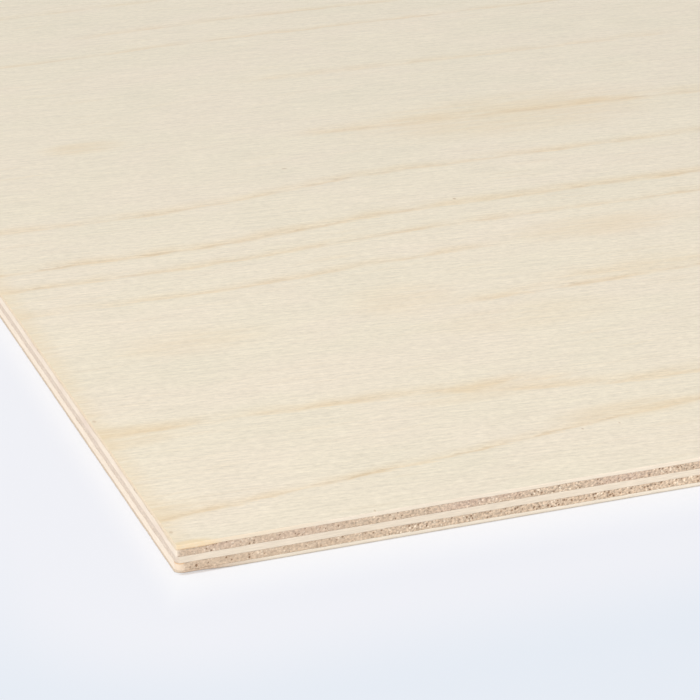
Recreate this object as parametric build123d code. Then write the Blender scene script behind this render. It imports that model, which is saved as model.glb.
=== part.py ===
from build123d import *
import os

# A sheet of plywood: five veneers glued face to face, each with its grain across the next, then
# sawn square on all four sides and sanded on both faces. It lies flat, with the middle of its
# underside at the origin, X along the grain of the face and Z up. Sizes are in millimetres.

# The sheet as sawn
sheet_length = 600.0
sheet_width = 600.0

# The veneers, from the upper face down
face_thickness = 1.1
upper_crossband_thickness = 2.3
core_thickness = 2.0
lower_crossband_thickness = 2.4
back_thickness = 1.2

# Edges broken by sanding and handling
arris_radius = 0.25
upright_corner_radius = 0.5

# The near left corner, crushed round where the sheet was stood on it: the radius at its lower tip,
# and the height at which the corner is as sharp as the other three again
crushed_tip_radius = 2.8
crushed_height = 6.5

# Veneers in the order they are laid up, from the underside, each with its thickness
layup = [
    ("back_veneer", back_thickness),
    ("lower_crossband", lower_crossband_thickness),
    ("core_veneer", core_thickness),
    ("upper_crossband", upper_crossband_thickness),
    ("face_veneer", face_thickness),
]
sheet_thickness = sum(thickness for name, thickness in layup)


def outline(near_left_radius):
    """The sheet's outline, with its near left corner rounded by a radius of its own."""
    square = Rectangle(sheet_length, sheet_width)
    corners = square.vertices().sort_by(Axis((0, 0, 0), (1, 1, 0)))
    rounded = fillet(corners[1:], upright_corner_radius)
    near_left = rounded.vertices().sort_by(Axis((0, 0, 0), (1, 1, 0)))[0]
    return fillet(near_left, near_left_radius)


def sawn_panel():
    """The whole thickness: the sound upper part, and the lower part whose near left corner flares in."""
    sound_outline = outline(upright_corner_radius)
    crushed_outline = outline(crushed_tip_radius)
    lower_part = loft([crushed_outline.face(), Pos(0, 0, crushed_height) * sound_outline.face()], ruled=True)
    upper_part = extrude(Pos(0, 0, crushed_height) * sound_outline, sheet_thickness - crushed_height)
    return lower_part + upper_part


def sanded(panel):
    """The panel with the arrises round its upper and lower faces taken off by sanding."""
    upper_face = panel.faces().sort_by(Axis.Z)[-1]
    lower_face = panel.faces().sort_by(Axis.Z)[0]
    return fillet(upper_face.edges() + lower_face.edges(), arris_radius)


def veneer(panel, underside, thickness):
    """The slice of the panel that one veneer makes up, between its two glue lines."""
    slab = Pos(0, 0, underside) * Box(
        2 * sheet_length,
        2 * sheet_width,
        thickness,
        align=(Align.CENTER, Align.CENTER, Align.MIN),
    )
    return panel & slab


os.makedirs("parts", exist_ok=True)
panel = sanded(sawn_panel())
glue_line = 0.0
for name, thickness in layup:
    export_step(veneer(panel, glue_line, thickness), "parts/" + name + ".step")
    glue_line += thickness
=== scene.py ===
import math

import bpy
import numpy as np
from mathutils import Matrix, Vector


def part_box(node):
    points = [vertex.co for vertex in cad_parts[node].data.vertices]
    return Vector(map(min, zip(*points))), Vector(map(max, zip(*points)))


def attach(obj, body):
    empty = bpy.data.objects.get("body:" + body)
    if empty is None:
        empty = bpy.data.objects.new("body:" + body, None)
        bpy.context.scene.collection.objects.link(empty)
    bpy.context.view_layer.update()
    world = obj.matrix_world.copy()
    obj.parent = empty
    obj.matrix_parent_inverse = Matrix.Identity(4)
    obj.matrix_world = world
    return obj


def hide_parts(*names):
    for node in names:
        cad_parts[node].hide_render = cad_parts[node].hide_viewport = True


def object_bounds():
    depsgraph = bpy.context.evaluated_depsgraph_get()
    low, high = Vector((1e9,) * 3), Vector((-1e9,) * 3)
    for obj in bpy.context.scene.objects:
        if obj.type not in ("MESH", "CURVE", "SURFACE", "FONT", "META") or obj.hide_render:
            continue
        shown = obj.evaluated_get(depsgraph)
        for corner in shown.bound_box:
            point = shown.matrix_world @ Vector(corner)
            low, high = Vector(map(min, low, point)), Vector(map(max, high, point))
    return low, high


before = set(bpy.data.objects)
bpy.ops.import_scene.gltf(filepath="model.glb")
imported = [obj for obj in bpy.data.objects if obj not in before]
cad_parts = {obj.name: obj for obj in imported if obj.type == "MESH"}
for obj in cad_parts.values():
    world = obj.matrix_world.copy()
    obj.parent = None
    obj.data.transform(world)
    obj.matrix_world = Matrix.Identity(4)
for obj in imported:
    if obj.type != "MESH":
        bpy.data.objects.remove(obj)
cad_low, cad_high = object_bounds()
mm = 0.001


# The view
# The sheet lies flat and is looked down on from in front of its near edge, turned towards its near
# left corner, through a long lens from about 0.8 m away, so that its far edges are out of sight.
picture_width = 700
view_turned = math.radians(20.5)
view_dipped = math.radians(23.61)
lens_in_pixels = 3000
corner_seen_at = (175.6, 546.05)
corner_away = 794.7 * mm
sensor_width = 36.0
nearest_seen = 10 * mm
farthest_seen = 100

near_left_corner = Vector((cad_low.x, cad_low.y, cad_high.z))
forward = Vector((
    math.sin(view_turned) * math.cos(view_dipped),
    math.cos(view_turned) * math.cos(view_dipped),
    -math.sin(view_dipped),
))
rightward = Vector((math.cos(view_turned), -math.sin(view_turned), 0))
upward = rightward.cross(forward)
corner_right = (corner_seen_at[0] - picture_width / 2) / lens_in_pixels
corner_down = (corner_seen_at[1] - picture_width / 2) / lens_in_pixels
eye_to_corner = (forward + rightward * corner_right - upward * corner_down) * corner_away

camera = bpy.data.objects.new("camera", bpy.data.cameras.new("camera"))
camera.data.sensor_width = sensor_width
camera.data.lens = lens_in_pixels / picture_width * sensor_width
camera.data.clip_start = nearest_seen
camera.data.clip_end = farthest_seen
camera.location = near_left_corner - eye_to_corner
camera.rotation_mode = "QUATERNION"
camera.rotation_quaternion = forward.to_track_quat("-Z", "Y")
bpy.context.scene.collection.objects.link(camera)
bpy.context.scene.camera = camera
bpy.context.scene.view_settings.view_transform = "Standard"


# The table that the sheet lies on
# A smooth white table, a little blue, running back into a backdrop of the same white. It is painted whitest
# close to the sheet, as a pool of light, and keeps a faint part of its shadow, which is full only in the
# crease under the edge, where grey shade is painted in as well.
table_reach_in_metres = 30
table_gap = 0.02 * mm
# Painted light: the table's white is painted brighter towards the sheet, from the far white up to the glow
# white
painted_glow_white = (250, 250, 252.5)
table_white = (240.5, 241.5, 247)
far_white = (231, 236.5, 244.5)
# Painted shade: the grey painted into the crease under the sheet's edge, over the real shadow kept there
painted_crease_shade_grey = (176, 168, 160)
painted_crease_shade_strength = 0.15
shadow_kept = 0.28

# Lengths over the table, in millimetres from the sheet. The painted pool of light is half as wide at the left
# and right of the sheet as it is in front of it and behind it.
painted_glow_reach = 26
side_narrowing = 2
far_start = 30
far_end = 76
shadow_reach = (450, 150)
crease_reach = (0.5, 0.05)
round_corner = 2.8
half_side = (cad_high.x - cad_low.x) / 2 / mm


def paint(red, green, blue):
    """A colour as it shows on a screen, from 0 to 255, made into light."""
    light = []
    for level in (red, green, blue):
        share = level / 255
        light.append(share / 12.92 if share <= 0.04045 else ((share + 0.055) / 1.055) ** 2.4)
    return (*light, 1.0)


class Shade:
    """A socket in a material. Sums on shades add the nodes that work them out."""

    def __init__(self, tree, socket=None):
        self.tree = tree
        self.socket = socket

    def node(self, kind, settings=None, sockets=None, output=0):
        """Adds any node: its settings first, then the values or links of its sockets."""
        made = self.tree.nodes.new("ShaderNode" + kind)
        for name, value in (settings or {}).items():
            setattr(made, name, value)
        for name, value in (sockets or {}).items():
            if isinstance(value, Shade):
                self.tree.links.new(value.socket, made.inputs[name])
            else:
                made.inputs[name].default_value = value
        return Shade(self.tree, made.outputs[output])

    def sum(self, operation, *values):
        """A Math node on numbers or shades."""
        return self.node("Math", {"operation": operation}, dict(enumerate(values)))

    def __add__(self, other):
        return self.sum("ADD", self, other)

    def __radd__(self, other):
        return self.sum("ADD", other, self)

    def __sub__(self, other):
        return self.sum("SUBTRACT", self, other)

    def __rsub__(self, other):
        return self.sum("SUBTRACT", other, self)

    def __mul__(self, other):
        return self.sum("MULTIPLY", self, other)

    def __rmul__(self, other):
        return self.sum("MULTIPLY", other, self)

    def __truediv__(self, other):
        return self.sum("DIVIDE", self, other)

    def size(self):
        """How far this is from 0, either way."""
        return self.sum("ABSOLUTE", self)

    def most(self, other):
        """The larger of this and another."""
        return self.sum("MAXIMUM", self, other)

    def rise(self, start, end):
        """0 at start and 1 at end, with a smooth rise between them. The end may lie below the start."""
        settings = {"interpolation_type": "SMOOTHSTEP"}
        return self.node("MapRange", settings, {0: self, 1: start, 2: end})

    def between(self, first, second):
        """A colour: the first where this is 0, the second where it is 1, and a mixture between."""
        settings = {"data_type": "RGBA"}
        return self.node("Mix", settings, {0: self, 6: first, 7: second}, output=2)

    def dye(self, other, amount):
        """This colour with an amount of another colour mixed in."""
        return amount.between(self, other)

    def lit(self, amount):
        """This colour made brighter or darker by an amount, where 1 leaves it as it is."""
        return self.node("VectorMath", {"operation": "SCALE"}, {0: self, "Scale": amount})


def seen_directly(nodes):
    """1 where a ray from the eye, a mirror or clear glass looks, and 0 for the light that falls on things."""
    camera_ray, glossy_ray, clear_ray = [
        nodes.node("LightPath", output=name)
        for name in ("Is Camera Ray", "Is Glossy Ray", "Is Transmission Ray")
    ]
    return camera_ray.most(glossy_ray).most(clear_ray)


def place_of(nodes, position):
    """A position in millimetres from the near left corner of the sheet's underside, one shade an axis."""
    corner = nodes.node("VectorMath", {"operation": "SUBTRACT"}, {0: position, 1: tuple(cad_low)})
    parts = nodes.node("SeparateXYZ", None, {0: corner.lit(1 / mm)}).socket.node
    return [Shade(nodes.tree, parts.outputs[axis]) for axis in "XYZ"]


def table_material():
    """White paint that glows where it is seen, painted whiter close to the sheet as a pool of light.
    It takes real shadow, and painted grey shade, in the crease under the sheet.
    """
    material = bpy.data.materials.new("white_table")
    material.use_nodes = True
    material.node_tree.nodes.clear()
    nodes = Shade(material.node_tree)
    x, y = place_of(nodes, nodes.node("NewGeometry", output="Position"))[:2]
    beyond_x = ((x - half_side).size() - (half_side - round_corner)).most(0.0)
    beyond_y = ((y - half_side).size() - (half_side - round_corner)).most(0.0)
    away = nodes.sum("SQRT", beyond_x * beyond_x + beyond_y * beyond_y) - round_corner
    # Painted light: the white is painted brighter towards the sheet, as a pool of light
    white = away.rise(far_start, far_end).between(paint(*table_white), paint(*far_white))
    close = (beyond_x * side_narrowing).most(beyond_y).rise(painted_glow_reach, 0.0)
    white = white.dye(paint(*painted_glow_white), close)
    crease = away.rise(*crease_reach) * beyond_y.rise(round_corner / 2, round_corner)
    # Painted shade: grey painted into the crease under the edge
    white = white.dye(paint(*painted_crease_shade_grey), crease * painted_crease_shade_strength)
    glow = nodes.node("Emission", None, {"Color": white})
    matt = nodes.node("BsdfDiffuse", None, {"Color": white})
    flat = seen_directly(nodes) * (1 - crease) * (1 - shadow_kept * away.rise(*shadow_reach))
    mixed = nodes.node("MixShader", None, {0: flat, 1: matt, 2: glow})
    end = material.node_tree.nodes.new("ShaderNodeOutputMaterial")
    material.node_tree.links.new(mixed.socket, end.inputs["Surface"])
    return material


table_mesh = bpy.data.meshes.new("table")
table_corners = [
    (-table_reach_in_metres, -table_reach_in_metres),
    (table_reach_in_metres, -table_reach_in_metres),
    (table_reach_in_metres, table_reach_in_metres),
    (-table_reach_in_metres, table_reach_in_metres),
]
table_mesh.from_pydata([(x, y, cad_low.z - table_gap) for x, y in table_corners], [], [(0, 1, 2, 3)])
table_mesh.materials.append(table_material())
table = bpy.data.objects.new("table", table_mesh)
bpy.context.scene.collection.objects.link(table)


# The light
# Soft daylight from all round, with one wide soft lamp high on the left in front, which makes the left
# edge a little brighter than the near one and the far part of the face a little darker.
sky_strength = 0.712
sky_white = (1.0, 1.0, 1.0, 1.0)
lamp_power = 35.0
lamp_size = 1.3
lamp_place = Vector((-1.55, -1.45, 1.85))

world = bpy.data.worlds.new("daylight")
world.use_nodes = True
world.node_tree.nodes.clear()
bpy.context.scene.world = world
sky = Shade(world.node_tree)
backdrop = sky.node("Background", None, {"Color": paint(*far_white)})
daylight = sky.node("Background", None, {"Color": sky_white, "Strength": sky_strength})
sky_mix = sky.node("MixShader", None, {0: seen_directly(sky), 1: daylight, 2: backdrop})
sky_end = world.node_tree.nodes.new("ShaderNodeOutputWorld")
world.node_tree.links.new(sky_mix.socket, sky_end.inputs["Surface"])

lamp = bpy.data.objects.new("lamp", bpy.data.lights.new("lamp", "AREA"))
lamp.data.energy = lamp_power
lamp.data.shape = "DISK"
lamp.data.size = lamp_size
lamp.location = near_left_corner + lamp_place
lamp.rotation_mode = "QUATERNION"
lamp.rotation_quaternion = (-lamp_place).to_track_quat("-Z", "Y")
bpy.context.scene.collection.objects.link(lamp)


# The back veneer
# The thin lowest ply, of pale close-grained wood peeled from the log, its grain along the near edge. It
# is glued under the lower crossband, sawn through with the others, and sanded on its outer face and arris.

# The sawn outline, with its near left corner crushed round at the tip
corner_radius = 0.5 * mm
crushed_tip_radius = 2.8 * mm
crushed_height = 6.5 * mm

# How closely the edges are divided: finely along the stretches near the crushed corner
fine_step = 0.22 * mm
fine_reach_right = 165 * mm
fine_reach_back = 205 * mm
coarse_step = 1.5 * mm
step_growth = 1.04
corner_points = 26
small_corner_points = 7
row_height = 0.19 * mm

# The sanded arris, the room that it takes up beside the plain rows of points, and how far inside the rim
# a glued face is flat again
arris_radius = 0.25 * mm
arris_rows = 4
arris_room = 1.4 * arris_radius
cap_inset = 1.5 * mm


def stations(length, fine_reach):
    """Distances along an edge from the near left corner: close together first, wider apart further on."""
    places = [0.0]
    step = fine_step
    while places[-1] < length:
        if places[-1] > fine_reach:
            step = min(step * step_growth, coarse_step)
        places.append(places[-1] + step)
    return np.array(places) * (length / places[-1])


def arc(middle_x, middle_y, start):
    """A quarter turn round a sharp corner, with the way each of its points faces."""
    angles = np.radians(np.linspace(start, start + 90, small_corner_points))
    facing = np.stack([np.cos(angles), np.sin(angles)], axis=1)
    return np.array([middle_x, middle_y]) + facing * corner_radius, facing


def near_left_turn(radius):
    """The crushed corner: the run-in down the left edge, the arc, and the run-out along the near edge."""
    run = crushed_tip_radius - radius
    quarter = math.pi / 2 * radius
    points = []
    facing = []
    for travelled in np.linspace(0, 2 * run + quarter, corner_points):
        if travelled < run:
            points.append((0.0, crushed_tip_radius - travelled))
            facing.append((-1.0, 0.0))
        elif travelled > run + quarter:
            points.append((radius + travelled - run - quarter, 0.0))
            facing.append((0.0, -1.0))
        else:
            angle = math.pi + (travelled - run) / radius
            facing.append((math.cos(angle), math.sin(angle)))
            points.append((radius + radius * facing[-1][0], radius + radius * facing[-1][1]))
    return np.array(points) + np.array([cad_low.x, cad_low.y]), np.array(facing)


def outline_at(height):
    """The sheet's outline at a height, anticlockwise from the left edge's near end, and the way it faces."""
    left, near = cad_low.x, cad_low.y
    right, far = cad_high.x, cad_high.y
    share = min(height / crushed_height, 1.0)
    near_turn = near_left_turn(crushed_tip_radius + (corner_radius - crushed_tip_radius) * share)
    straight = right - left - crushed_tip_radius - corner_radius
    run_x = stations(straight, fine_reach_right)[1:-1]
    run_y = stations(straight, fine_reach_back)[-2:0:-1]
    plain = np.arange(near + corner_radius + coarse_step, far - corner_radius - coarse_step / 2, coarse_step)
    stretches = [
        near_turn,
        (np.stack([left + crushed_tip_radius + run_x, np.full_like(run_x, near)], 1), (0, -1)),
        arc(right - corner_radius, near + corner_radius, 270),
        (np.stack([np.full_like(plain, right), plain], 1), (1, 0)),
        arc(right - corner_radius, far - corner_radius, 0),
        (np.stack([-plain, np.full_like(plain, far)], 1), (0, 1)),
        arc(left + corner_radius, far - corner_radius, 90),
        (np.stack([np.full_like(run_y, left), near + crushed_tip_radius + run_y], 1), (-1, 0)),
    ]
    points = np.concatenate([stretch[0] for stretch in stretches])
    facing = np.concatenate([np.broadcast_to(stretch[1], stretch[0].shape) for stretch in stretches])
    return points, facing


def rows_of(low, high, outer):
    """The heights of a ply's rows of points, each with how far it is set in round a sanded arris."""
    count = round((high - low) / row_height)
    rows = [(low + (high - low) * row / count, 0.0) for row in range(count + 1)]
    turns = [math.pi / 2 * row / arris_rows for row in range(arris_rows + 1)]
    arris = [(arris_radius * (1 - math.sin(turn)), arris_radius * (1 - math.cos(turn))) for turn in turns]
    if outer == "upper":
        rows = [row for row in rows if row[0] < high - arris_room]
        rows += [(high - drop, inset) for drop, inset in arris]
    if outer == "lower":
        rows = [row for row in rows if row[0] > low + arris_room]
        rows = [(low + lift, inset) for lift, inset in reversed(arris)] + rows
    return rows


# Random heights at the corners of a lattice, from which all the roughness of the sawn edges is made
lattice_side = 64
lattice = np.random.default_rng(11).uniform(-1, 1, (lattice_side,) * 3)

# The waves in a glue line: the length of each in millimetres, and its share of the wander. In the lattice
# the lines lie some times further apart than in the sheet, so that no two of them wander alike.
glue_wander = 0.15 * mm
glue_waves = [(20, 0.6), (2.6, 0.4), (0.9, 0.25)]
glue_line_spread = 9

# The bruised corner, where the upper plies sag: how far, between which distances along each edge, and the
# power of its height that each glue line sags by
corner_sag = 0.6 * mm
sag_reach = (13 * mm, 8 * mm)
sag_power = 4

# The scuffed lower arris of the near edge, beside the crushed corner
scuff_height = 0.85 * mm
scuff_slope = 1.1
scuff_reach = (17 * mm, 7 * mm)

# The torn surface: its depth, the lengths of its bumps in millimetres, and the mean and the swing of its
# depth as shares. It is shallower where the points of the outline are further apart than the spacing.
torn_depth = 0.16 * mm
pore_depth = 0.16 * mm
rough_spacing = 0.6 * mm
fibre_lengths = {"along": (8.0, 0.6, 0.4), "across": (0.6, 8.0, 0.4)}
long_grain_share = (0.12, 0.1)
end_grain_length = 3.0
end_grain_share = (0.25, 0.2)
hollow_length = 0.8
hollow_floor = 0.1
hollow_look = 0.5
pore_rim = 1.25
pore_facing = -0.9


def eased(part):
    """A straight rise from 0 to 1, made smooth at both of its ends."""
    return part * part * (3 - 2 * part)


def bumps(points, spacing):
    """Smooth random heights from -1 to 1 at each point, with the bumps about one spacing apart."""
    scaled = points / (np.array(spacing) * mm)
    cell = np.floor(scaled).astype(int)
    part = eased(scaled - cell)
    total = np.zeros(len(points))
    for corner in np.ndindex(2, 2, 2):
        weight = np.where(corner, part, 1 - part).prod(axis=1)
        total += lattice[tuple(((cell + corner) % lattice_side).T)] * weight
    return total


def fading(distance, reach):
    """1 close to the corner and 0 far from it, with a straight fall from the second reach to the first."""
    return np.clip((reach[0] - distance) / (reach[0] - reach[1]), 0, 1)


def glue_line(height, outline):
    """How far a glue line wanders up and down round the sheet, as the veneers were pressed together."""
    if height in (cad_low.z, cad_high.z):
        return np.zeros(len(outline))
    points = np.column_stack([outline, np.full(len(outline), height * glue_line_spread)])
    wander = sum(share * bumps(points, length) for length, share in glue_waves)
    bruised = fading(outline[:, 0] - cad_low.x, sag_reach) * fading(outline[:, 1] - cad_low.y, sag_reach)
    return glue_wander * wander - corner_sag * bruised * (height / cad_high.z) ** sag_power


def pore_cover(ring, facing, pores):
    """How far each point of a ring lies inside an open pore of the near edge, from 0 to 1 at its middle."""
    along = (ring[:, 0] - cad_low.x) / mm
    height = (ring[:, 2] - cad_low.z) / mm
    cover = np.zeros(len(ring))
    for place, level, radius in pores:
        away = np.hypot(along - place, height - level) / radius
        cover = np.maximum(cover, np.clip(pore_rim - away, 0, 1))
    return cover * (facing[:, 1] < pore_facing)


def torn_edge(ring, facing, grain, pores):
    """How deep the saw tore the wood at each point of a ring, and how much painted shade its hollows get,
    from 0 to 1.
    """
    ends = facing[:, 1] ** 2 if grain == "across" else facing[:, 0] ** 2
    hollow = np.maximum(0, bumps(ring, hollow_length) - hollow_floor)
    end_grain = end_grain_share[0] + end_grain_share[1] * bumps(ring, end_grain_length) + hollow
    long_grain = long_grain_share[0] + long_grain_share[1] * bumps(ring, fibre_lengths[grain])
    torn = ends * end_grain + (1 - ends) * long_grain
    pore = pore_cover(ring, facing, pores)
    return torn_depth * torn + pore_depth * eased(pore), np.maximum(pore, hollow_look * hollow * ends)


def scuffed_arris(lift, outline, facing):
    """How far in the near edge's lower arris is rubbed away beside the crushed corner, at a lift above it."""
    scuff = scuff_height * fading(outline[:, 0] - cad_low.x, scuff_reach) * np.clip(-facing[:, 1], 0, 1)
    return scuff_slope * np.maximum(0, scuff - lift)


def set_in(row, height):
    """A row of points inside a glued face, where the face is flat again."""
    ring, pits, up = row
    inner = ring * (1 - cap_inset / cad_high.x)
    inner[:, 2] = height
    return inner, pits, up


def ply_mesh(name, rows, across):
    """A closed mesh of rows of points, each row once round the ply, with a flat face at either end."""
    round_count = len(across)
    faces = [tuple(range(round_count - 1, -1, -1))]
    for row in range(len(rows) - 1):
        for i in range(round_count):
            j = (i + 1) % round_count
            a, b = row * round_count, (row + 1) * round_count
            faces.append((a + i, a + j, b + j, b + i))
    faces.append(tuple(range((len(rows) - 1) * round_count, len(rows) * round_count)))
    mesh = bpy.data.meshes.new(name)
    mesh.from_pydata(np.concatenate([row[0] for row in rows]).tolist(), [], faces)
    mesh.polygons.foreach_set("use_smooth", [False] + [True] * (len(faces) - 2) + [False])
    marks = {
        "pit": np.concatenate([row[1] for row in rows]),
        "up": np.concatenate([row[2] for row in rows]),
        "across": np.tile(across, len(rows)),
    }
    for mark, values in marks.items():
        mesh.attributes.new(mark, "FLOAT", "POINT").data.foreach_set("value", values)
    return mesh


def veneer(cad_node, grain, outer=None, pores=()):
    """One veneer as a piece: its torn, sawn rim, and a flat face above and below it."""
    low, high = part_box(cad_node)
    base, base_facing = outline_at(low.z)
    spacing = np.linalg.norm(np.roll(base, -1, axis=0) - base, axis=1)
    fineness = np.minimum(1.0, rough_spacing / spacing)
    low_lift = glue_line(low.z, base)
    high_lift = glue_line(high.z, base)
    rows = []
    for height, inset in rows_of(low.z, high.z, outer):
        outline, facing = outline_at(height)
        share = (height - low.z) / (high.z - low.z)
        ring = np.column_stack([outline, height + low_lift * (1 - share) + high_lift * share])
        depth, pits = torn_edge(ring, facing, grain, pores)
        depth = depth * fineness + inset
        if outer == "lower":
            depth = depth + scuffed_arris(height - low.z, outline, facing)
        ring[:, :2] -= facing * depth[:, None]
        rows.append((ring, pits, np.full(len(base), share)))
    if outer != "lower":
        rows.insert(0, set_in(rows[0], low.z))
    if outer != "upper":
        rows.append(set_in(rows[-1], high.z))
    piece = bpy.data.objects.new(cad_node + "_ply", ply_mesh(cad_node, rows, base_facing[:, 1] ** 2))
    bpy.context.scene.collection.objects.link(piece)
    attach(piece, "root")
    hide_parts(cad_node)
    return piece


def new_wood(piece, name):
    """A bare material on a piece, to be worked out from where each point of the wood is."""
    material = bpy.data.materials.new(name)
    material.use_nodes = True
    material.node_tree.nodes.clear()
    piece.data.materials.append(material)
    nodes = Shade(material.node_tree)
    return nodes, place_of(nodes, nodes.node("TexCoord", output="Object"))


def mark_of(nodes, name):
    """A mark of the mesh: how hollow a point is, how far up its ply, or how much it faces near or far."""
    return nodes.node("Attribute", {"attribute_name": name}, output="Fac")


def strewn(place, lengths, shift):
    """A place as a vector, measured in the given lengths and moved along, so that no two patterns match."""
    parts = {axis: part / length for axis, (part, length) in enumerate(zip(place, lengths))}
    parts[0] = parts[0] + shift
    return place[0].node("CombineXYZ", None, parts)


def fibres(place, lengths, shift, detail=2, rough=0.5):
    """Noise about 0, pulled out to the given lengths in millimetres along each axis of the place."""
    settings = {"noise_dimensions": "2D" if len(place) == 2 else "3D"}
    sockets = {"Vector": strewn(place, lengths, shift), "Scale": 1.0, "Detail": detail, "Roughness": rough}
    return (place[0].node("TexNoise", settings, sockets) - 0.5) * 2.0


def spots(place, spacing, reach, shift):
    """Round spots scattered about one spacing apart, which come up from the first radius to the second."""
    sockets = {"Vector": strewn(place, (spacing,) * 3, shift), "Scale": 1.0}
    return place[0].node("TexVoronoi", None, sockets).rise(reach[0] / spacing, reach[1] / spacing)


# Lengths in the woods are in millimetres. Streaks and wide clouds show where the saw ran along the grain,
# speckle, narrow clouds and pale flecks in patches where it ran across. A tone is the middle and the
# swing of the clouds' mixture between the wood's first colour and its second.
streak_length = (5, 5, 0.3)
streakiness = 0.19
streak_relief = 0.4
wide_cloud = (14, 14, 2)
side_tone = (0.3, 0.8)
speckle_length = (0.8, 0.8, 0.65)
speckle_strength = 0.72
narrow_cloud = (5, 5, 1.6)
end_tone = (0.5, 0.9)
fleck_spacing = 0.95
fleck_reach = (0.36, 0.144)
fleck_patches = (4, 4, 4)


def side_wood(place, shift, tint, pale, streaky=streakiness):
    """Wood cut along its grain at the sheet's edge: cream, with fine streaks along the edge."""
    streak = fibres(place, streak_length, shift, 3, 0.65)
    cloud = fibres(place, wide_cloud, shift + 5)
    wood = (side_tone[0] + side_tone[1] * cloud).between(paint(*tint), paint(*pale))
    return wood.lit(1 + streaky * streak), streak * streak_relief


def end_wood(place, shift, coarse, tint, deep, fleck):
    """Wood sawn across its grain: torn fibre ends, with darker clouds and pale flecks."""
    speckle = fibres(place, speckle_length, shift, 3, 0.62)
    cloud = fibres(place, narrow_cloud, shift + 7)
    patches = fibres(place, fleck_patches, shift + 8, 1).rise(-0.25, 0.3)
    wood = (end_tone[0] + end_tone[1] * cloud).between(paint(*tint), paint(*deep))
    flecks = spots(place, fleck_spacing, fleck_reach, shift + 40)
    wood = wood.dye(paint(*fleck), flecks * patches * coarse)
    return wood.lit(1 + coarse * speckle * speckle_strength), speckle


# Where the left edge's look gives way to the near edge's, by how much a point faces near or far and by its
# place along the near edge, and how much brighter the near edge gets further to the right
turning_facing = (0.55, 0.97)
turning_place = (-0.4, 1.6)
near_brightening = 0.06
brightening_reach = (70.0, 150.0)


def round_the_corner(nodes, place, near_look, left_look):
    """Joins the look of the near and far edges to that of the left and right ones, round the corners."""
    near = mark_of(nodes, "across").rise(*turning_facing) * place[0].rise(*turning_place)
    near_wood = near_look[0].lit(1 + near_brightening * place[0].rise(*brightening_reach))
    return left_look[0].dye(near_wood, near), left_look[1] * (1 - near) + near_look[1] * near


outer_end_tans = ((238, 222, 197), (230, 212, 186), (244, 229, 207))
outer_end_coarseness = 0.35


def outer_edge_wood(nodes, place, shift, creams):
    """The sawn edge of an outer veneer, long grain at the near edge and ends at the left one."""
    near = side_wood(place, shift, *creams)
    left = end_wood(place, shift, outer_end_coarseness, *outer_end_tans)
    return round_the_corner(nodes, place, near, left)


bump_strength = 0.6
raised_gloss = 0.08


def bare_wood(wood, relief, depth, roughness):
    """Ends a material: the worked-out colour and relief, dry and unvarnished."""
    bump = wood.node("Bump", None, {"Strength": bump_strength, "Distance": depth, "Height": relief})
    uneven = roughness - raised_gloss * relief
    bare = wood.node("BsdfPrincipled", None, {"Base Color": wood, "Roughness": uneven, "Normal": bump})
    end = wood.tree.nodes.new("ShaderNodeOutputMaterial")
    wood.tree.links.new(bare.socket, end.inputs["Surface"])


# The growth lines of the peeled faces, in millimetres from the near left corner: the height at the left
# edge, the climb over the bend in the grain, the tilt over 100 mm, the first and last place along the
# grain, the strength of the tan halo and of the dark thread in it, and the half width.
growth_lines = [
    (16.0, 2.0, 10.5, -50, 700, 0.90, 0.85, 3.0),
    (70.8, -3.0, -1.5, -50, 150, 1.00, 0.45, 4.4),
    (74.5, -20.0, 0.4, 85, 700, 1.00, 0.30, 5.0),
    (122.5, 0.0, 4.0, 128, 700, 1.00, 0.75, 5.0),
    (127.5, 0.0, 4.6, 160, 700, 0.70, 0.00, 7.0),
    (163.8, 5.5, 0.4, -50, 175, 0.70, 0.45, 3.8),
    (174.0, 6.5, 0.0, 92, 122, 0.60, 0.60, 2.2),
    (185.8, 7.2, 0.0, -50, 700, 0.85, 0.60, 4.0),
    (200.8, 10.0, -0.2, -50, 700, 1.00, 0.80, 4.6),
    (236.0, 12.0, 0.0, -50, 700, 0.85, 0.65, 4.4),
    (297.5, 0.0, -2.6, 130, 700, 0.95, 0.60, 6.0),
    (361.0, -2.0, 0.0, 130, 330, 0.60, 0.40, 4.5),
    (408.0, 4.0, 1.0, -50, 700, 0.70, 0.50, 3.0),
    (431.0, 6.0, 0.6, 90, 700, 0.80, 0.60, 3.2),
    (468.0, 3.0, 1.4, -50, 420, 0.60, 0.40, 3.4),
    (502.0, -4.0, 0.5, -50, 700, 0.85, 0.60, 3.0),
    (566.0, -2.0, -0.6, -50, 700, 0.75, 0.50, 3.4),
]
growth_fade = 22.0

# How far a halo reaches to its far side and its near one, and a thread to both, in the line's half widths
halo_reach = (1.7, -0.55)
halo_strength = 0.52
thread_reach = 0.32
thread_strength = 0.46

# The faint tan streaks that stray between the lines, and the lengths of the breaks in halos and threads
stray_halo = (45, 2.6)
stray_halo_strength = 0.35
halo_break = (26, 8)
thread_break = (18, 6)

# The long and short waves in a growth line: their lengths, and how far they move it. The long fibres
# fray it too.
long_wave = (80, 45)
long_wave_height = 1.1
short_wave = (13, 12)
short_wave_height = 0.8
fibre_pull = 1.4

# The bend in the grain, between two places along it, and the clouds of colour that follow it
bend_start = 55.0
bend_end = 168.0
cloud_climb = 8.0
grey_cloud = (60, 24)
pink_cloud = (48, 26)
pink_cloud_strength = 0.5

# The sanded fibres: the lengths of short and long ones, how steeply each runs off the near edge, and how
# much each shows. The short ones show most near the near edge.
short_fibre = (2.8, 0.88)
short_slope = 0.15
short_contrast = 0.175
short_contrast_near = 0.03
near_contrast_reach = (380.0, 80.0)
long_fibre = (18, 1.2)
long_slope = 0.1
long_contrast = 0.11

face_cream = (241, 229.5, 207)
face_pink = (242, 228, 208)
face_grey = (237.5, 227, 204.5)
halo_tan = (234, 208, 166)
thread_tan = (207, 172, 124)


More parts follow.
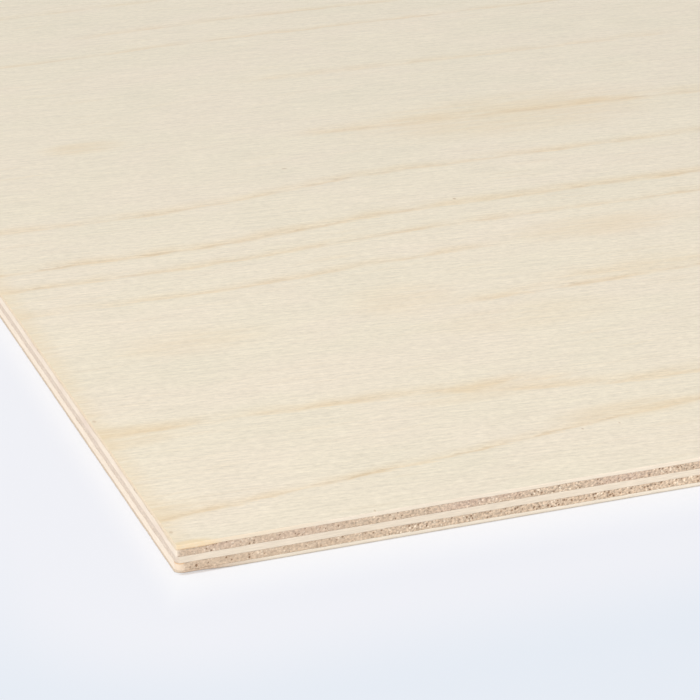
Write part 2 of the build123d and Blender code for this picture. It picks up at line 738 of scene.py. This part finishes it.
def peeled_wood(x, y, shift):
    """The peeled, sanded face of an outer veneer: fine fibres, faint clouds and the tan growth lines."""
    bend = x.rise(bend_start, bend_end)
    long_waver = fibres((x, y), long_wave, shift, 1) * long_wave_height
    short_waver = fibres((x, y), short_wave, shift + 27, 1) * short_wave_height
    level = y + long_waver + short_waver
    short = fibres((x, y + short_slope * x), short_fibre, shift, 3, 0.8)
    long = fibres((x, y + long_slope * x), long_fibre, shift + 4, 2, 0.6)
    grain = (x, level - bend * cloud_climb)
    greyed = fibres(grain, grey_cloud, shift + 9).rise(-0.35, 0.8)
    rosy = fibres(grain, pink_cloud, shift + 15).rise(-0.3, 0.5)
    wood = greyed.between(paint(*face_cream), paint(*face_grey))
    wood = wood.dye(paint(*face_pink), rosy * pink_cloud_strength)

    halos = fibres(grain, stray_halo, shift + 44, 2, 0.55).rise(0.1, 0.75) * stray_halo_strength
    threads = 0.0
    for height, climb, tilt, start, end, halo, thread, half_width in growth_lines:
        beyond = level + short + fibre_pull * long - bend * climb - x * (tilt / 100) - height
        band = beyond.rise(halo_reach[0] * half_width, 0.0) * beyond.rise(halo_reach[1] * half_width, 0.0)
        along = x.rise(start, start + growth_fade) * x.rise(end, end - growth_fade)
        halos = halos.most(band * halo * along)
        threads = (beyond.size().rise(thread_reach * half_width, 0.0) * thread * along).most(threads)
    halo_breaks = fibres(grain, halo_break, shift + 33, 2, 0.6).rise(-0.7, 0.5)
    thread_breaks = fibres(grain, thread_break, shift + 36, 2, 0.6).rise(-0.4, 0.5)
    wood = wood.dye(paint(*halo_tan), halos * halo_breaks * halo_strength)
    wood = wood.dye(paint(*thread_tan), threads * thread_breaks * thread_strength)

    contrast = y.rise(*near_contrast_reach) * short_contrast_near + short_contrast
    return wood.lit(1 + contrast * short + long_contrast * long), short


# The back veneer's edge: stained along its left end, its ends scuffed open beside the crushed corner and
# its lower arris painted grey as shade where it meets the table. Reaches are in millimetres along the near
# edge, or over the underside.
back_shift = 60.0
back_edge_creams = ((240.5, 228, 209), (247, 236, 219))
back_shade = 0.965
stain_tan = (202, 180, 158)
stain_reach = (30.0, 16.0)
stain_strength = 0.5
scuffed_tan = (205, 178, 152)
scuffed_reach = (17.0, 10.0)
scuffed_facing = (0.6, 0.95)
scuffed_strength = 0.75
scuffed_speckle = 0.5
painted_contact_shade_grey = (164, 152, 138)
painted_contact_shade_reach = (0.75, 0.05)
painted_contact_shade_strength = 0.4
outer_edge_relief_depth = 0.05 * mm
outer_edge_roughness = 0.66
face_relief_depth = 0.03 * mm
face_roughness = 0.62

back = veneer("back_veneer", "along", outer="lower")
back_nodes, back_place = new_wood(back, "back_edge_wood")
back_wood, back_relief = outer_edge_wood(back_nodes, back_place, back_shift, back_edge_creams)
back_wood = back_wood.lit(back_shade)
back_wood = back_wood.dye(paint(*stain_tan), back_place[0].rise(*stain_reach) * stain_strength)
scuffed = back_place[0].rise(*scuffed_reach) * mark_of(back_nodes, "across").rise(*scuffed_facing)
scuffed_ends = fibres(back_place, speckle_length, back_shift + 1, 3, 0.62)
back_wood = back_wood.dye(paint(*scuffed_tan), scuffed * scuffed_strength)
back_wood = back_wood.lit(1 + scuffed_speckle * scuffed * scuffed_ends)
# Painted shade: the lowest part of the edge is painted grey, as the shade where it meets the table
back_wood = back_wood.dye(paint(*painted_contact_shade_grey), back_place[2].rise(*painted_contact_shade_reach) * painted_contact_shade_strength)
bare_wood(back_wood, back_relief, outer_edge_relief_depth, outer_edge_roughness)

# The under face is laid out from the sheet's far right corner, so that it doesn't repeat the upper one
under_place = new_wood(back, "under_face_wood")[1]
under_x, under_y = [2 * half_side - part for part in under_place[:2]]
under_wood, under_relief = peeled_wood(under_x, under_y, back_shift)
bare_wood(under_wood, under_relief, face_relief_depth, face_roughness)
back.data.polygons[0].material_index = 1


# The lower crossband
# A thick ply of brown open-pored wood, glued on the back veneer with its grain across the sheet, so that
# the near edge shows its torn ends, pressed flat and pale at the crushed corner, and the left its length.
crossband_tans = ((218, 196, 171), (204, 179, 153), (240, 222, 198))
crossband_creams = ((248, 232, 212), (253, 239, 221))
crossband_coarsening = 0.75
coarsening_stretch = 60
crossband_relief_depth = 0.12 * mm
crossband_roughness = 0.75
# The painted shade in the open pores and torn hollows, and how deep they sink in the relief
painted_pore_shade_brown = (128, 92, 62)
painted_pore_shade_reach = (0.12, 0.95)
painted_pore_shade_strength = 0.85
pore_relief = 2

# The glue's brown at the foot and the head of a crossband, as shares of its thickness
seam_brown = (160, 132, 106)
seam_foot = (0.10, 0.0)
seam_head = (0.92, 1.0)
seam_patches = (9, 9, 3)
seam_strength = 0.6

# The largest open pores of the near edge: place along it, height and radius in millimetres
lower_pores = [
    (5.7, 2.1, 0.50), (14.1, 2.94, 0.40), (20.6, 1.76, 0.40), (104.7, 1.5, 0.36), (103.8, 2.3, 0.42),
    (105.5, 2.1, 0.44), (108.1, 2.05, 0.50), (109.2, 1.55, 0.42), (111.3, 1.7, 0.40), (112.9, 2.85, 0.42),
    (122.3, 1.96, 0.40), (127.0, 1.96, 0.46), (128.1, 1.6, 0.44),
]

# The stretches of smaller pores: first and last place, least and greatest height, how many to a square
# millimetre, their usual radius, and the seed that strews them
lower_stretches = [
    (4, 60, 1.5, 3.4, 0.18, 0.27, 3),
    (60, 165, 1.5, 3.4, 0.36, 0.33, 4),
]
pore_radii = (0.6, 1.25)

# The lower one's coarseness and brightening along the near edge, and its ends at the crushed corner,
# where they are pale, and orange under the glue
lower_shift = 10.0
lower_coarseness = 0.9
lower_coarse_from = 25.0
lower_brightening = 0.04
lower_brightening_reach = (90.0, 130.0)
crushed_pale = (240, 218, 192)
crushed_orange = (226, 176, 120)
crushed_along = (2.7, 1.9)
crushed_back = (2.4, 1.2)
crushed_top = (0.8, 0.95)
crushed_strength = 0.8


def scattered(first, last, low, high, per_mm2, radius, seed):
    """Pores strewn over a stretch of the near edge: places, heights and radii in millimetres."""
    dice = np.random.default_rng(seed)
    count = round((last - first) * (high - low) * per_mm2)
    sizes = radius * dice.uniform(*pore_radii, count)
    return np.column_stack([dice.uniform(first, last, count), dice.uniform(low, high, count), sizes]).tolist()


def glued(nodes, place, wood, shift):
    """The wood with the thin brown line of glue along its upper and lower boundary, strong in places."""
    up = mark_of(nodes, "up")
    line = up.rise(*seam_foot) + up.rise(*seam_head)
    patches = fibres(place, seam_patches, shift + 12, 2, 0.6).rise(-0.15, 0.45)
    return wood.dye(paint(*seam_brown), line * patches * seam_strength)


def crossband_wood(nodes, place, shift, coarseness, coarse_from):
    """The sawn edge of a crossband, coarser to the right: ends at the near edge, length at the left one."""
    coarse = place[0].rise(coarse_from, coarse_from + coarsening_stretch) * crossband_coarsening + coarseness
    near = end_wood(place, shift, coarse, *crossband_tans)
    left = side_wood(place, shift, *crossband_creams)
    wood, relief = round_the_corner(nodes, place, near, left)
    wood = glued(nodes, place, wood, shift)
    pit = mark_of(nodes, "pit")
    # Painted shade: the open pores and torn hollows are painted dark brown
    wood = wood.dye(paint(*painted_pore_shade_brown), pit.rise(*painted_pore_shade_reach) * painted_pore_shade_strength)
    return wood, relief - pore_relief * pit


for stretch in lower_stretches:
    lower_pores += scattered(*stretch)
lower = veneer("lower_crossband", "across", pores=lower_pores)
lower_nodes, lower_place = new_wood(lower, "lower_crossband_wood")
lower_wood, lower_relief = crossband_wood(
    lower_nodes, lower_place, lower_shift, lower_coarseness, lower_coarse_from)
lower_wood = lower_wood.lit(1 + lower_brightening * lower_place[0].rise(*lower_brightening_reach))
crushed = lower_place[0].rise(*crushed_along) * lower_place[1].rise(*crushed_back) * crushed_strength
glue_soaked = crushed * mark_of(lower_nodes, "up").rise(*crushed_top)
lower_wood = lower_wood.dye(paint(*crushed_pale), crushed)
lower_wood = lower_wood.dye(paint(*crushed_orange), glue_soaked)
bare_wood(lower_wood, lower_relief, crossband_relief_depth, crossband_roughness)


# The core veneer
# The middle ply, of the same pale wood as the face, with its grain along the near edge, where it shows as
# a cream stripe. On the left edge it shows its darker ends.
core_shift = 20.0
core_creams = ((233.5, 219, 198), (241, 226, 206))
core_streakiness = 0.3
core_tans = ((232, 215, 197), (221, 202, 182), (240, 223, 204))
core_coarseness = 0.4
core_relief_depth = 0.08 * mm
core_roughness = 0.70

core = veneer("core_veneer", "along")
core_nodes, core_place = new_wood(core, "core_wood")
core_near = side_wood(core_place, core_shift, *core_creams, core_streakiness)
core_left = end_wood(core_place, core_shift, core_coarseness, *core_tans)
core_wood, core_relief = round_the_corner(core_nodes, core_place, core_near, core_left)
bare_wood(core_wood, core_relief, core_relief_depth, core_roughness)


# The upper crossband
# The second thick brown ply, laid and glued as the lower one is. Its ends on the near edge are a little
# pinker than the lower one's, and their pores are smaller.
upper_pores = [
    (11.4, 7.6, 0.36), (9.9, 5.85, 0.34), (106.1, 6.3, 0.36), (123.0, 7.5, 0.40), (117.6, 5.85, 0.34),
]
upper_stretches = [
    (1, 90, 5.8, 7.7, 0.22, 0.26, 5),
    (90, 165, 5.8, 7.7, 0.45, 0.28, 6),
]
upper_shift = 30.0
upper_coarseness = 1.05
upper_coarse_from = 35.0
upper_pink = (214, 182, 168)
pink_patches = (24, 24, 6)
pink_shift = 3.0
pink_strength = 0.3

for stretch in upper_stretches:
    upper_pores += scattered(*stretch)
upper = veneer("upper_crossband", "across", pores=upper_pores)
upper_nodes, upper_place = new_wood(upper, "upper_crossband_wood")
upper_wood, upper_relief = crossband_wood(
    upper_nodes, upper_place, upper_shift, upper_coarseness, upper_coarse_from)
pink = fibres(upper_place, pink_patches, pink_shift, 1).rise(-0.2, 0.5)
upper_wood = upper_wood.dye(paint(*upper_pink), pink * pink_strength)
bare_wood(upper_wood, upper_relief, crossband_relief_depth, crossband_roughness)


# The face veneer
# The thin uppermost ply, peeled like the back one and sanded, with its grain along the near edge. Its
# face carries the faint tan growth lines, a few tan hazes and specks, and yellows along its left end.
face_shift = 0.0
face_edge_creams = ((240.5, 225.5, 204), (247, 233.5, 214))

# Its edge: a little yellow along the left stretch, and more so in patches next to the corner, where the
# foot of the ply is orange. The facing is how much a point faces near or far, the foot a share of the ply.
corner_yellow = (246, 219, 176)
yellow_edge_reach = (48.0, 22.0)
yellow_edge_strength = 0.25
corner_reach = (14.0, 9.5)
corner_facing = (0.5, 0.9)
corner_patches = (1.6, 1.6, 0.5)
corner_patch_shift = 17.0
corner_strength = 0.8
corner_orange = (222, 186, 144)
corner_foot = (0.35, 0.1)

# Its face: painted a little greyer further back as painted shade, and yellow along its left end, broken up
# along the fibres
painted_far_shade_grey = (212, 207, 192)
painted_far_shade_reach = (130.0, 330.0)
painted_far_shade = 0.11
arris_yellow = (240, 214, 170)
arris_yellow_reach = (8.0, 0.0)
arris_yellowing = 0.33
broken_length = (22, 2.6)
broken_shift = 51.0
speck_brown = (178, 142, 104)

# Ovals on the face, in millimetres from the near left corner: place along and across the grain, half
# length, half width and strength
yellow_corner = (4, 0, 10, 4, 0.8)
hazes = [
    (118, 137, 26, 20, 0.22),
    (46, 128, 36, 14, 0.22),
    (222, 290, 85, 32, 0.30),
    (150, 112, 48, 16, 0.16),
    (205, 174, 50, 14, 0.30),
    (62, 309, 22, 9, 0.35),
    (252, 294, 22, 9, 0.40),
    (112, 63, 34, 9, 0.26),
    (150, 37, 36, 9, 0.35),
    (0, 20, 30, 10, 0.35),
    (0, 70, 34, 13, 0.35),
]
specks = [
    (123.0, 263.4, 1.6, 0.7, 0.45),
    (167.9, 214.6, 0.9, 1.1, 0.55),
    (131.5, 29.0, 0.5, 0.8, 0.45),
    (143.2, 29.0, 0.5, 0.8, 0.40),
    (56.9, 1.0, 0.5, 0.9, 0.45),
    (1.4, 82.8, 0.9, 1.3, 0.35),
    (1.2, 8.0, 0.9, 1.1, 0.35),
]


def oval(x, y, along, across, half_length, half_width, strength):
    """Strongest in the middle of an oval on the face, falling smoothly to 0 at its rim."""
    right = (x - along) / half_length
    back_from = (y - across) / half_width
    cover = (right * right + back_from * back_from).rise(1.0, 0.0)
    return cover * cover * strength


face = veneer("face_veneer", "along", outer="upper")
edge_nodes, edge_place = new_wood(face, "face_edge_wood")
edge_wood, edge_relief = outer_edge_wood(edge_nodes, edge_place, face_shift, face_edge_creams)
yellowed_edge = edge_place[0].rise(*yellow_edge_reach) * yellow_edge_strength
edge_wood = edge_wood.dye(paint(*corner_yellow), yellowed_edge)
yellowed = edge_place[0].rise(*corner_reach) * mark_of(edge_nodes, "across").rise(*corner_facing)
yellow_patches = fibres(edge_place, corner_patches, corner_patch_shift, 2, 0.6).rise(-0.6, 0.2)
yellowed = yellowed * yellow_patches * corner_strength
edge_wood = edge_wood.dye(paint(*corner_yellow), yellowed)
orange_foot = yellowed * mark_of(edge_nodes, "up").rise(*corner_foot)
edge_wood = edge_wood.dye(paint(*corner_orange), orange_foot)
bare_wood(edge_wood, edge_relief, outer_edge_relief_depth, outer_edge_roughness)

face_x, face_y = new_wood(face, "face_wood")[1][:2]
face_wood, face_relief = peeled_wood(face_x, face_y, face_shift)
# Painted shade: the face is painted greyer further back
face_wood = face_wood.dye(paint(*painted_far_shade_grey), face_y.rise(*painted_far_shade_reach) * painted_far_shade)
broken = fibres((face_x, face_y), broken_length, broken_shift, 2, 0.6).rise(-1.0, 0.45)
haze = 0.0
for shape in hazes:
    haze = oval(face_x, face_y, *shape).most(haze)
face_wood = face_wood.dye(paint(*halo_tan), haze * broken)
yellowed_end = face_x.rise(*arris_yellow_reach) * arris_yellowing
yellowed_face = yellowed_end.most(oval(face_x, face_y, *yellow_corner))
face_wood = face_wood.dye(paint(*arris_yellow), yellowed_face * broken)
for shape in specks:
    face_wood = face_wood.dye(paint(*speck_brown), oval(face_x, face_y, *shape))
bare_wood(face_wood, face_relief, face_relief_depth, face_roughness)
face.data.polygons[len(face.data.polygons) - 1].material_index = 1
